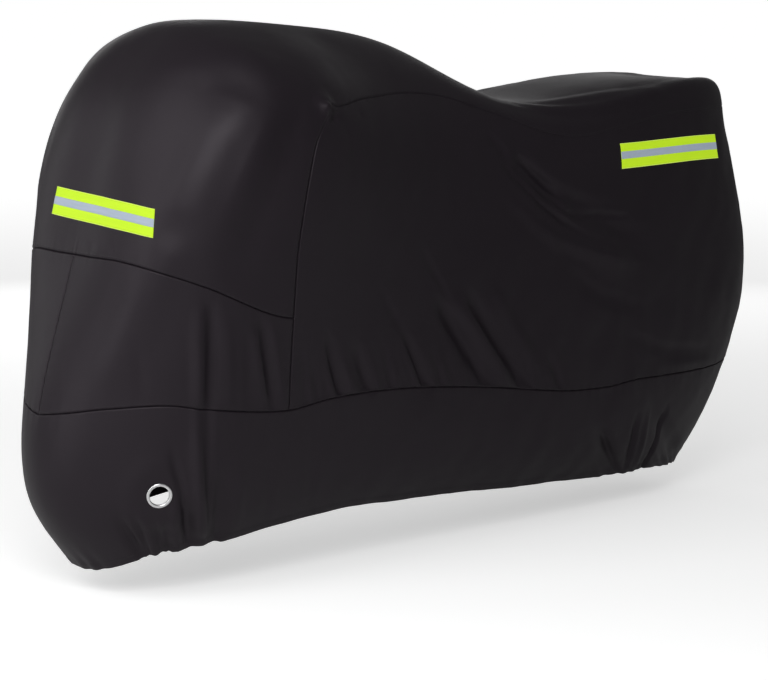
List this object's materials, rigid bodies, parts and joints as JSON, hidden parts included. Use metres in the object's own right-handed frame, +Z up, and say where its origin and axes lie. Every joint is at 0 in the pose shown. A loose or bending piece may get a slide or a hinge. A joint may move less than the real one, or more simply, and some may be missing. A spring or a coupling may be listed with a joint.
{
  "type": "motorcycle cover",
  "caption": "Fitted cloth cover hanging in the shape of a motorcycle: rounded hood and long back, side panels, gathered skirt with lock-hole eyelets, reflective tape, open underneath.",
  "frame": {"origin": "the point under the hood's crown where the cover rests on the machine, on the cloth's underside and on the cover's middle plane", "axes": "-X towards the front of the machine, -Y towards its left-hand side, +Z up; the ground lies 1.26 m below the origin"},
  "size_m": [2.1782, 0.7252, 1.206],
  "materials": {
    "cloth": "coated polyester, soft sheen",
    "tape": "fluorescent yellow-green woven tape",
    "band": "retroreflective grey",
    "eyelet": "plated, polished"
  },
  "bodies": {
    "root": {"hood": "cloth", "top_panel": "cloth", "front_left": "cloth", "front_right": "cloth", "side_left": "cloth", "side_right": "cloth", "skirt_front": "cloth", "skirt_left": "cloth", "skirt_right": "cloth", "eyelet_left": "eyelet", "eyelet_right": "eyelet", "tape_front": "tape", "band_front": "band", "tape_rear_left": "tape", "band_rear_left": "band", "tape_rear_right": "tape", "band_rear_right": "band"}
  },
  "joints": []
}
